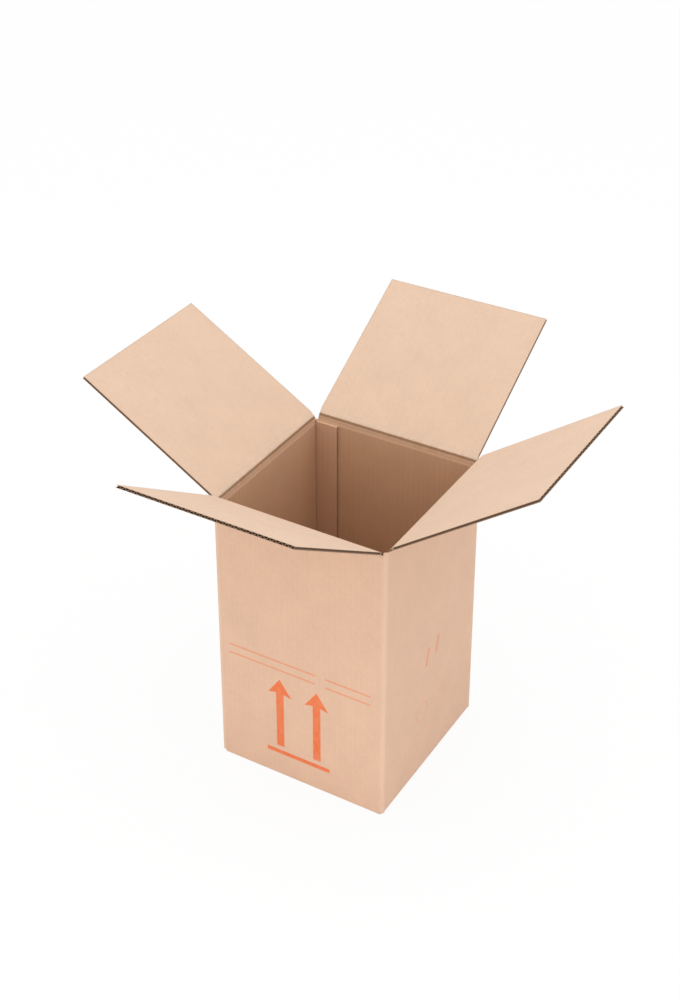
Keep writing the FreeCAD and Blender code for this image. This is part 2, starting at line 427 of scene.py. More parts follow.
class PaperFibre(Effect):
    """Kraft paper: cloudy tone, short fibres and a few darker and paler flecks.

    The scales are in waves a metre.
    """

    CLOUD_SCALE = 22.0
    FORMATION_SCALE = 160.0
    FIBRE_SCALE = 1500.0
    CROSS_FIBRE_SCALE = 1300.0
    FLECK_SCALE = 620.0
    DARK_FLECK = (0.30, 0.17, 0.09)
    PALE_FLECK = (0.93, 0.78, 0.62)

    title = "paper_fibre"
    takes = (("Place", "Vector"), ("Paper", "Color"), ("Cloud", "Float"), ("Fleck", "Float"))
    gives = (("Colour", "Color"), ("Height", "Float"), ("Roughness", "Float"))

    def build(self, graph: Graph, given: dict[str, Socket]) -> dict[str, Socket]:
        """Cloud, fibre and fleck layers over the paper colour.

        Args:
            graph: The group's own graph.
            given: The input sockets by name.

        Returns:
            The sockets for the group's outputs, by name.
        """
        place = given["Place"]
        cloud = graph.noise(place, self.CLOUD_SCALE, 3.0, 0.55)
        formation = graph.noise(place, self.FORMATION_SCALE, 3.0, 0.6)
        along = graph.noise(graph.scaled(place, (1.0, 0.16, 1.0)), self.FIBRE_SCALE, 2.0, 0.6)
        across = graph.noise(graph.scaled(place, (0.2, 1.0, 1.0)), self.CROSS_FIBRE_SCALE, 2.0, 0.6)
        fibre = graph.total(graph.product(along, 0.55), graph.product(across, 0.45))
        tone = graph.total(graph.product(cloud, 0.6), graph.product(formation, 0.4))
        shade = graph.ramp(tone, 0.3, 0.7, -0.5, 0.5)
        grain = graph.ramp(fibre, 0.3, 0.7, -0.5, 0.5)
        cloudy = graph.product(shade, given["Cloud"])
        grainy = graph.product(grain, given["Fleck"])
        level = graph.total(1.0, graph.total(cloudy, grainy))
        base = graph.blend(1.0, given["Paper"], graph.grey(level), "MULTIPLY")
        spots = graph.noise(graph.scaled(place, (1.0, 0.45, 1.0)), self.FLECK_SCALE, 1.0, 0.5)
        dark = graph.product(graph.ramp(spots, 0.70, 0.78), given["Fleck"])
        pale = graph.product(graph.ramp(spots, 0.30, 0.24), given["Fleck"])
        darker = graph.blend(graph.product(dark, 1.6), base, self.DARK_FLECK)
        colour = graph.blend(graph.product(pale, 0.9), darker, self.PALE_FLECK)
        height = graph.total(graph.product(fibre, 0.7), graph.product(formation, 0.3))
        return {"Colour": colour, "Height": height, "Roughness": graph.ramp(fibre, 0.2, 0.8, 0.86, 0.97)}


class FluteLines(Effect):
    """The faint ribs that the flutes press through a liner."""

    PATCH_SCALE = 45.0
    SHADE = 0.04

    title = "flute_lines"
    takes = (("Along", "Float"), ("Place", "Vector"), ("Depth", "Float"))
    gives = (("Rib", "Float"), ("Shade", "Float"))

    def build(self, graph: Graph, given: dict[str, Socket]) -> dict[str, Socket]:
        """Ribs at the flute pitch, stronger and weaker from place to place.

        Args:
            graph: The group's own graph.
            given: The input sockets by name.

        Returns:
            The sockets for the group's outputs, by name.
        """
        turn = graph.product(given["Along"], 2.0 * math.pi / BOARD.flute_pitch)
        wave = graph.math("SINE", turn)
        patch = graph.noise(graph.scaled(given["Place"], (1.0, 0.25, 1.0)), self.PATCH_SCALE, 1.0, 0.5)
        strength = graph.product(graph.ramp(patch, 0.35, 0.7, 0.25, 1.0), given["Depth"])
        rib = graph.product(graph.total(graph.product(wave, 0.5), 0.5), strength)
        shade = graph.total(1.0, graph.product(wave, strength, self.SHADE))
        return {"Rib": rib, "Shade": shade}


class EdgeFray(Effect):
    """A soft, slightly darker border where the die has cut the paper."""

    WANDER_SCALE = 260.0

    title = "edge_fray"
    takes = (("Distance", "Float"), ("Place", "Vector"), ("Reach", "Float"))
    gives = (("Mask", "Float"),)

    def build(self, graph: Graph, given: dict[str, Socket]) -> dict[str, Socket]:
        """A border whose width wanders a little.

        Args:
            graph: The group's own graph.
            given: The input sockets by name.

        Returns:
            The sockets for the group's outputs, by name.
        """
        wander = graph.noise(given["Place"], self.WANDER_SCALE, 2.0, 0.6)
        reach = graph.product(given["Reach"], graph.ramp(wander, 0.3, 0.7, 0.5, 1.5))
        near = graph.math("DIVIDE", given["Distance"], reach)
        return {"Mask": graph.ramp(near, 0.0, 1.0, 1.0, 0.0)}


class InkPatches(Effect):
    """Flexographic ink on kraft: even, with pinholes and soft lighter patches."""

    PINHOLE_SCALE = 900.0
    PATCH_SCALE = 120.0

    title = "ink_patches"
    takes = (("Shape", "Float"), ("Place", "Vector"), ("Cover", "Float"))
    gives = (("Mask", "Float"),)

    def build(self, graph: Graph, given: dict[str, Socket]) -> dict[str, Socket]:
        """The printed shape with worn cover.

        Args:
            graph: The group's own graph.
            given: The input sockets by name.

        Returns:
            The sockets for the group's outputs, by name.
        """
        holes = graph.ramp(graph.noise(given["Place"], self.PINHOLE_SCALE, 2.0, 0.6), 0.26, 0.36)
        patch = graph.ramp(graph.noise(given["Place"], self.PATCH_SCALE, 2.0, 0.5), 0.3, 0.7, 0.86, 1.0)
        return {"Mask": graph.product(given["Shape"], holes, patch, given["Cover"])}


@dataclass(frozen=True)
class Bar:
    """A printed bar on a wall, by its middle, size and turn."""

    across: float
    up: float
    width: float
    height: float
    turn_deg: float = 0.0


@dataclass(frozen=True)
class ArrowMark:
    """A printed arrow that points up."""

    across: float
    foot: float
    tip: float
    shaft_width: float = 9.4 * MM
    head_width: float = 29.5 * MM
    head_height: float = 21.5 * MM
    barb: float = 3.6 * MM


@dataclass(frozen=True)
class RingMark:
    """A printed ring."""

    across: float
    up: float
    radius: float
    line: float


@dataclass(frozen=True)
class FrontPrint:
    """The print on the front wall: two arrows over a bar, and two plain rules above them."""

    arrows: tuple[ArrowMark, ...] = (
        ArrowMark(-25.6 * MM, 41.0 * MM, 133.0 * MM),
        ArrowMark(20.4 * MM, 41.0 * MM, 133.6 * MM),
    )
    bars: tuple[Bar, ...] = (Bar(-3.2 * MM, 32.7 * MM, 79.0 * MM, 5.4 * MM),)
    rules: tuple[Bar, ...] = (
        Bar(-35.0 * MM, 156.5 * MM, 108.0 * MM, 2.2 * MM),
        Bar(-35.0 * MM, 145.5 * MM, 108.0 * MM, 2.2 * MM),
        Bar(58.5 * MM, 156.5 * MM, 55.0 * MM, 2.2 * MM),
        Bar(58.5 * MM, 145.5 * MM, 55.0 * MM, 2.2 * MM),
    )


@dataclass(frozen=True)
class RightPrint:
    """The print on the right wall: two plain strokes, and a pale ring with rules below."""

    strokes: tuple[Bar, ...] = (
        Bar(-8.0 * MM, 150.0 * MM, 5.0 * MM, 22.0 * MM, -14.0),
        Bar(14.0 * MM, 154.0 * MM, 5.0 * MM, 22.0 * MM, -14.0),
    )
    rings: tuple[RingMark, ...] = (RingMark(-18.0 * MM, 82.0 * MM, 12.0 * MM, 2.2 * MM),)
    rules: tuple[Bar, ...] = (
        Bar(22.0 * MM, 86.0 * MM, 36.0 * MM, 1.8 * MM),
        Bar(22.0 * MM, 78.0 * MM, 36.0 * MM, 1.8 * MM),
        Bar(-18.0 * MM, 56.0 * MM, 24.0 * MM, 1.8 * MM),
    )


class Stencil:
    """Masks of printed shapes from two coordinates on a wall."""

    EDGE = 0.25 * MM

    def __init__(self, graph: Graph, across: Socket, up: Socket) -> None:
        """Keep the coordinates.

        Args:
            graph: The material's graph.
            across: Coordinate along the wall.
            up: Height on the wall.
        """
        self.graph = graph
        self.across = across
        self.up = up

    def within(self, value: Value, limit: Value) -> Socket:
        """1 where the size of value is below limit, with a soft edge.

        Args:
            value: What is measured.
            limit: Where the shape ends.

        Returns:
            The mask.
        """
        graph = self.graph
        rest = graph.math("SUBTRACT", limit, graph.math("ABSOLUTE", value))
        return graph.ramp(rest, -self.EDGE, self.EDGE)

    def bar(self, shape: Bar) -> Socket:
        """Mask of a bar.

        Args:
            shape: The bar.

        Returns:
            The mask.
        """
        graph = self.graph
        right = graph.math("SUBTRACT", self.across, shape.across)
        high = graph.math("SUBTRACT", self.up, shape.up)
        if shape.turn_deg:
            cosine = math.cos(math.radians(shape.turn_deg))
            sine = math.sin(math.radians(shape.turn_deg))
            turned = graph.total(graph.product(right, cosine), graph.product(high, sine))
            high = graph.math("SUBTRACT", graph.product(high, cosine), graph.product(right, sine))
            right = turned
        return graph.product(self.within(right, shape.width / 2), self.within(high, shape.height / 2))

    def arrow(self, shape: ArrowMark) -> Socket:
        """Mask of an arrow: its shaft, and a head whose barbs sweep down a little.

        Args:
            shape: The arrow.

        Returns:
            The mask.
        """
        graph = self.graph
        right = graph.math("ABSOLUTE", graph.math("SUBTRACT", self.across, shape.across))
        middle = (shape.foot + shape.tip - shape.head_height) / 2
        half_shaft = (shape.tip - shape.head_height - shape.foot) / 2 + shape.barb
        shaft_up = graph.math("SUBTRACT", self.up, middle + shape.barb)
        shaft = graph.product(self.within(right, shape.shaft_width / 2), self.within(shaft_up, half_shaft))
        drop = graph.math("SUBTRACT", shape.tip, self.up)
        slope = shape.head_width / 2 / shape.head_height
        sides = self.within(right, graph.product(drop, slope))
        share = graph.math("DIVIDE", right, shape.head_width / 2)
        lower = graph.total(shape.head_height - shape.barb, graph.product(share, shape.barb))
        below = graph.ramp(graph.math("SUBTRACT", lower, drop), -self.EDGE, self.EDGE)
        return graph.highest(shaft, graph.product(sides, below))

    def ring(self, shape: RingMark) -> Socket:
        """Mask of a ring.

        Args:
            shape: The ring.

        Returns:
            The mask.
        """
        graph = self.graph
        right = graph.math("SUBTRACT", self.across, shape.across)
        high = graph.math("SUBTRACT", self.up, shape.up)
        square = graph.total(graph.product(right, right), graph.product(high, high))
        off = graph.math("SUBTRACT", graph.math("SQRT", square), shape.radius)
        return self.within(off, shape.line / 2)


@dataclass(frozen=True)
class Spot:
    """Sockets for a point of the case: where it is, how its face points and its place on the board."""

    x: Socket
    y: Socket
    z: Socket
    nx: Socket
    ny: Socket
    side: Socket
    along: Socket
    place: Socket


@dataclass(frozen=True)
class KraftFinish:
    """Colours, strengths and reaches of the brown paper.

    A reach says where a mask starts and where it is full.
    """

    paper: Colour = (0.690, 0.454, 0.318)
    # flap: the same kraft painted paler and pinker, as painted light on the flaps
    flap: Colour = (0.752, 0.540, 0.396)
    # inside: the same kraft painted darker and more saturated, as painted shade inside the case
    inside: Colour = (0.650, 0.405, 0.240)
    # Painted shade: the near-black colour of the flute channels at the board's cut edges
    flute_channel_shade: Colour = (0.170, 0.097, 0.057)
    cut: Colour = (0.330, 0.200, 0.122)
    ink: Colour = (0.772, 0.154, 0.037)
    # crease: dark brown used as painted shade in the crease grooves and the inner corners, and for the
    # darker border at the flaps' cut edges
    crease: Colour = (0.340, 0.190, 0.105)
    # pressed: a pale tint used only as painted light, on the flaps' roots and the outer corners of the case
    pressed: Colour = (0.930, 0.740, 0.570)
    cloud: float = 0.07
    fleck: float = 0.08
    ribs_outside: float = 0.22
    ribs_inside: float = 0.7
    bump_height: float = 0.10 * MM
    rib_height: float = 0.06 * MM
    soft_edge: float = 0.5 * MM
    gloss: float = 0.22
    sheen: float = 0.10
    sheen_roughness: float = 0.6
    # Painted light on the inner rims of the walls, on the tab and on the wall side of the crease bands
    rim_light: float = 0.34
    rim_light_reach: Reach = (34.0 * MM, 2.0 * MM)
    # Painted shade along the inner vertical corners
    inner_corner_shade: float = 0.6
    inner_corner_reach: Reach = (1.4 * MM, 0.5 * MM)
    tab_end_shade: float = 0.85
    tab_end_reach: Reach = (9.0 * MM, 6.0 * MM)
    # Painted highlight on the rounded outer corners of the case
    corner_highlight: float = 0.14
    corner_highlight_reach: Reach = (6.0 * MM, 2.0 * MM)
    border_shade: float = 0.45
    border_width: float = 1.1 * MM
    # Painted light at the flap's root, which lifts the shade on its pressed slope
    root_light: float = 0.35
    root_light_reach: Reach = (7.3 * MM, 6.3 * MM)
    root_light_depth: Reach = (0.8 * MM, 1.1 * MM)
    liner_reach: Reach = (0.3 * MM, 0.4 * MM)
    cut_reach: Reach = (0.12 * MM, 0.04 * MM)
    change_reach: Reach = (0.3 * MM, -0.3 * MM)
    groove_shade: float = 0.95
    groove_reach: Reach = (1.5 * MM, 0.5 * MM)
    groove_wander: float = 0.6 * MM
    wander_scale: float = 90.0


@dataclass(frozen=True)
class InkCover:
    """How fully each kind of print covers the paper."""

    bold: float = 0.98
    rules: float = 0.5
    strokes: float = 0.45
    pale: float = 0.20


@dataclass
class Finishes:
    """All the materials, built from one set of shared effects."""

    kraft: KraftFinish = field(default_factory=KraftFinish)
    cover: InkCover = field(default_factory=InkCover)

    def __post_init__(self) -> None:
        """Build the shared effects once."""
        self.fibre = PaperFibre()
        self.ribs = FluteLines()
        self.fray = EdgeFray()
        self.ink = InkPatches()
        self.crease = self.crease_paper()

    def start(self, name: str) -> tuple[bpy.types.Material, Graph]:
        """A new material with an empty graph.

        Args:
            name: Name of the material.

        Returns:
            The material and its graph.
        """
        material = bpy.data.materials.new(name)
        material.use_nodes = True
        material.node_tree.nodes.clear()
        return material, Graph(material.node_tree)

    def close(
        self, graph: Graph, colour: Socket, roughness: Socket, heights: Sequence[tuple[Socket, float]]
    ) -> None:
        """Finish a paper material with its shader.

        Args:
            graph: The material's graph.
            colour: The finished colour.
            roughness: The finished roughness.
            heights: Relief layers from 0 to 1, each with its height in metres.
        """
        shader = graph.node("ShaderNodeBsdfPrincipled")
        graph.feed(shader.inputs["Base Color"], colour)
        graph.feed(shader.inputs["Roughness"], roughness)
        shader.inputs["Specular IOR Level"].default_value = self.kraft.gloss
        shader.inputs["Sheen Weight"].default_value = self.kraft.sheen
        shader.inputs["Sheen Roughness"].default_value = self.kraft.sheen_roughness
        normal: Optional[Socket] = None
        for height, distance in heights:
            bump = graph.node("ShaderNodeBump")
            bump.inputs["Distance"].default_value = distance
            graph.feed(bump.inputs["Height"], height)
            if normal is not None:
                graph.feed(bump.inputs["Normal"], normal)
            normal = bump.outputs["Normal"]
        if normal is not None:
            graph.feed(shader.inputs["Normal"], normal)
        output = graph.node("ShaderNodeOutputMaterial")
        graph.feed(output.inputs["Surface"], shader.outputs["BSDF"])

    def paper(
        self, graph: Graph, place: Socket, along: Socket, paper: Value, depth: Value
    ) -> dict[str, Socket]:
        """The paper's own layers, shared by every board material.

        Args:
            graph: The material's graph.
            place: Coordinates on the board.
            along: The coordinate across the flutes.
            paper: The paper's colour.
            depth: How strongly the flutes show through.

        Returns:
            The colour, roughness, fibre height and rib height.
        """
        kraft = self.kraft
        colour = paper if isinstance(paper, bpy.types.NodeSocket) else (*paper, 1.0)
        fibre = self.fibre.place(graph, Place=place, Paper=colour, Cloud=kraft.cloud, Fleck=kraft.fleck)
        ribs = self.ribs.place(graph, Along=along, Place=place, Depth=depth)
        shaded = graph.blend(1.0, fibre["Colour"], graph.grey(ribs["Shade"]), "MULTIPLY")
        return {
            "Colour": shaded,
            "Roughness": fibre["Roughness"],
            "Fibre": fibre["Height"],
            "Rib": ribs["Rib"],
        }

    def spot(self, graph: Graph) -> Spot:
        """The coordinates that the case's paper and print are laid out on.

        Args:
            graph: The material's graph.

        Returns:
            The sockets. Side is 1 on the left and right walls and 0 on the others.
        """
        coordinates = graph.node("ShaderNodeTexCoord")
        x, y, z = graph.split(coordinates.outputs["Object"])
        nx, ny, _ = graph.split(coordinates.outputs["Normal"])
        side = graph.ramp(graph.math("ABSOLUTE", nx), 0.5, 0.9)
        other = graph.math("SUBTRACT", 1.0, side)
        along = graph.total(graph.product(side, y), graph.product(other, x))
        place = graph.join(along, z, graph.total(x, y))
        return Spot(x, y, z, nx, ny, side, along, place)

    def case_board(self) -> bpy.types.Material:
        """The case: brown outside with the print, painted darker inside as painted shade, and dark cut
        edges; painted light on the inner rims and the tab, painted shade in the inner corners and a painted
        highlight on the outer corners.

        Returns:
            The material.
        """
        kraft = self.kraft
        material, graph = self.start("case_board")
        spot = self.spot(graph)
        across, deep = graph.math("ABSOLUTE", spot.x), graph.math("ABSOLUTE", spot.y)
        mid_board = BOARD.half_width - BOARD.thickness * 0.5
        above = graph.ramp(spot.z, BOARD.floor_top - kraft.soft_edge, BOARD.floor_top)
        within = graph.ramp(graph.highest(across, deep), mid_board, mid_board - kraft.soft_edge)
        inside = graph.product(within, above)
        # Painted shade: the inside faces take the darker inside colour.
        paper = graph.blend(inside, kraft.paper, kraft.inside)
        depth = graph.ramp(inside, 0.0, 1.0, kraft.ribs_outside, kraft.ribs_inside)
        layers = self.paper(graph, spot.place, spot.along, paper, depth)
        # Painted light: the inner rim of each wall is painted paler, towards the outside colour.
        lit = self.lit_rim(graph, spot)
        colour = graph.blend(graph.product(lit, inside, kraft.rim_light), layers["Colour"], kraft.paper)
        # Painted shade: a dark line down the inner vertical corners.
        corner_shade_mask = self.inner_corner_shade_mask(graph, across, deep)
        colour = graph.blend(graph.product(corner_shade_mask, inside, kraft.inner_corner_shade), colour, kraft.crease)
        tab_edge = BOARD.thickness + BOARD.tab_width - BOARD.half_width
        on_tab = graph.ramp(spot.x, tab_edge + kraft.soft_edge, tab_edge)
        # Painted light: the tab's face inside the case is painted paler, towards the outside colour.
        tab_face = graph.product(graph.facing(spot.ny, -1.0), on_tab)
        colour = graph.blend(graph.product(tab_face, inside, kraft.rim_light), colour, kraft.paper)
        far, near = kraft.tab_end_reach
        near_end = graph.ramp(spot.x, tab_edge - far, tab_edge - near)
        tab_end = graph.product(graph.facing(spot.nx, 1.0), near_end)
        colour = graph.blend(graph.product(tab_end, inside, kraft.tab_end_shade), colour, kraft.cut)
        # Painted highlight: a paler band down the rounded outer corners.
        corner = graph.math("SUBTRACT", BOARD.half_width, graph.math("MINIMUM", across, deep))
        outside = graph.math("SUBTRACT", 1.0, inside)
        pressed = graph.product(graph.ramp(corner, *kraft.corner_highlight_reach), outside)
        colour = graph.blend(graph.product(pressed, kraft.corner_highlight), colour, kraft.pressed)
        colour = graph.blend(self.print_mask(graph, spot), colour, kraft.ink)
        self.close(
            graph,
            colour,
            layers["Roughness"],
            ((layers["Rib"], kraft.rib_height), (layers["Fibre"], kraft.bump_height)),
        )
        return material

    def inner_corner_shade_mask(self, graph: Graph, across: Socket, deep: Socket) -> Socket:
        """Mask of the painted shade along the vertical corners where the walls meet inside.

        Args:
            graph: The material's graph.
            across: Distance from the middle of the case along X.
            deep: Distance from the middle of the case along Y.

        Returns:
            The mask.
        """
        start, end = self.kraft.inner_corner_reach
        wall_face = BOARD.half_width - BOARD.thickness
        tab_face = wall_face - BOARD.thickness
        return graph.product(
            graph.ramp(across, wall_face - start, wall_face - end),
            graph.ramp(deep, tab_face - start, tab_face - end),
        )

    def lit_rim(self, graph: Graph, spot: Spot) -> Socket:
        """Mask of the painted light inside the walls, just below their creases, where the top of each wall
        catches the light.

        Args:
            graph: The material's graph.
            spot: The point of the case.

        Returns:
            The mask.
        """
        left, back, front, right = (crease.height for crease in CREASES)
        sides = graph.product(spot.side, graph.ramp(spot.x, -MM, MM, left, right))
        others = graph.product(
            graph.math("SUBTRACT", 1.0, spot.side), graph.ramp(spot.y, -MM, MM, front, back)
        )
        below = graph.math("SUBTRACT", graph.total(sides, others), spot.z)
        return graph.ramp(below, *self.kraft.rim_light_reach)

    def print_mask(self, graph: Graph, spot: Spot) -> Socket:
        """Mask of all the print on the case.

        Args:
            graph: The material's graph.
            spot: The point of the case.

        Returns:
            The mask.
        """
        outer = BOARD.half_width - self.kraft.soft_edge
        soft = 0.2 * MM
        on_front = graph.product(graph.facing(spot.ny, -1.0), graph.ramp(spot.y, -outer, -outer - soft))
        on_right = graph.product(graph.facing(spot.nx, 1.0), graph.ramp(spot.x, outer, outer + soft))
        front, right = FrontPrint(), RightPrint()
        stencil = Stencil(graph, spot.x, spot.z)
        arrows = [stencil.arrow(mark) for mark in front.arrows]
        bold = graph.highest(*arrows, *(stencil.bar(mark) for mark in front.bars))
        rules = graph.highest(*(stencil.bar(mark) for mark in front.rules))
        stencil = Stencil(graph, spot.y, spot.z)
        strokes = graph.highest(*(stencil.bar(mark) for mark in right.strokes))
        rings = [stencil.ring(mark) for mark in right.rings]
        pale = graph.highest(*rings, *(stencil.bar(mark) for mark in right.rules))
        layers = (
            (graph.product(bold, on_front), self.cover.bold),
            (graph.product(rules, on_front), self.cover.rules),
            (graph.product(strokes, on_right), self.cover.strokes),
            (graph.product(pale, on_right), self.cover.pale),
        )
        inked = [
            self.ink.place(graph, Shape=shape, Place=spot.place, Cover=cover)["Mask"]
            for shape, cover in layers
        ]
        return graph.highest(*inked)

    def flap_board(self, crease: Crease) -> bpy.types.Material:
        """A flap: brown liners painted paler as painted light, a soft border at the cut edges, painted shade
        in the flutes and painted light at the root.

        Args:
            crease: The flap's crease.

        Returns:
            The material.
        """
        kraft = self.kraft
        material, graph = self.start(f"flap_board_{crease.wall.name.lower()}")
        coordinates = graph.node("ShaderNodeTexCoord")
        to_flap = crease.flap_frame().inverted()
        turned = graph.node("ShaderNodeMapping", vector_type="POINT")
        turned.inputs["Location"].default_value = to_flap.translation
        turned.inputs["Rotation"].default_value = to_flap.to_euler("XYZ")
        graph.feed(turned.inputs["Vector"], coordinates.outputs["Object"])
        place = turned.outputs["Vector"]
        along, away, deep = graph.split(place)
        from_face = graph.math("MINIMUM", deep, graph.math("SUBTRACT", BOARD.thickness, deep))
        # Painted shade: the board's core between the liners, in the flute channels, is painted dark.
        flute_shade_mask = graph.product(
            graph.ramp(from_face, *kraft.liner_reach),
            graph.ramp(away, BOARD.score_reach, BOARD.score_reach + 1.0 * MM),
        )
        # The flaps take the paler flap colour, as painted light.
        layers = self.paper(graph, place, along, kraft.flap, kraft.ribs_outside)
        side = graph.math("SUBTRACT", BOARD.flap_half_width, graph.math("ABSOLUTE", along))
        end = graph.math("SUBTRACT", BOARD.flap_length, away)
        nearest = graph.math("MINIMUM", side, end)
        border = self.fray.place(graph, Distance=nearest, Place=place, Reach=kraft.border_width)
        worn = graph.product(border["Mask"], kraft.border_shade)
        colour = graph.blend(worn, layers["Colour"], kraft.crease)
        # Painted light: the inner face near the flap's root is painted paler, lifting the shade on its
        # slope.
        root = graph.product(graph.ramp(away, *kraft.root_light_reach), graph.ramp(deep, *kraft.root_light_depth))
        colour = graph.blend(graph.product(root, kraft.root_light), colour, kraft.pressed)
        colour = graph.blend(flute_shade_mask, colour, kraft.flute_channel_shade)
        colour = graph.blend(graph.ramp(nearest, *kraft.cut_reach), colour, kraft.cut)
        self.close(
            graph,
            colour,
            layers["Roughness"],
            ((layers["Rib"], kraft.rib_height), (layers["Fibre"], kraft.bump_height)),
        )
        return material

    def crease_paper(self) -> bpy.types.Material:
        """The pressed band over a crease: the flap's paper painted paler as painted light, the wall's paper
        with painted rim light, and a groove painted dark as painted shade.

        Returns:
            The material.
        """
        kraft = self.kraft
        material, graph = self.start("crease_paper")
        place = graph.node("ShaderNodeUVMap", uv_map="board").outputs["UV"]
        inner, _, _ = graph.split(graph.node("ShaderNodeUVMap", uv_map="skin").outputs["UV"])
        along, across, _ = graph.split(place)
        uneven = graph.math("SUBTRACT", graph.noise(place, kraft.wander_scale, 2.0), 0.5)
        off = graph.total(across, graph.product(uneven, kraft.groove_wander))
        # Painted light: the flap side of the band is the paler flap colour, paler still towards the root.
        flap_side_light = graph.blend(graph.product(inner, kraft.root_light), kraft.flap, kraft.pressed)
        # Painted light: the wall side of the band is the inside colour lifted towards the outside colour.
        lit = graph.blend(kraft.rim_light, kraft.inside, kraft.paper)
        walls = graph.blend(inner, kraft.paper, lit)
        skin = graph.blend(graph.ramp(off, *kraft.change_reach), flap_side_light, walls)
        layers = self.paper(graph, place, along, skin, kraft.ribs_outside)
        # Painted shade: a dark line along the groove on the inside of the crease.
        groove = graph.product(graph.ramp(graph.math("ABSOLUTE", off), *kraft.groove_reach), inner)
        colour = graph.blend(graph.product(groove, kraft.groove_shade), layers["Colour"], kraft.crease)
        self.close(graph, colour, layers["Roughness"], ((layers["Fibre"], kraft.bump_height),))
        return material


@dataclass
class CaseWalls:
    """The folded case: the model's own solid with its paper and print."""

    frame: dict
    finishes: Finishes

    def dress(self) -> bpy.types.Object:
        """Give the case its material.

        Returns:
            The case's object.
        """
        case = self.frame["nodes"]["case"]
        case.data.materials.clear()
        case.data.materials.append(self.finishes.case_board())
        return case


@dataclass
class TopFlap:
    """A top flap: the model's own fluted solid with its paper."""

    crease: Crease
    frame: dict
    finishes: Finishes

    def dress(self) -> bpy.types.Object:
        """Give the flap its material.

        Returns:
            The flap's object.
        """
        flap = self.frame["nodes"][self.crease.wall.node]
        flap.data.materials.clear()
        flap.data.materials.append(self.finishes.flap_board(self.crease))
        return flap


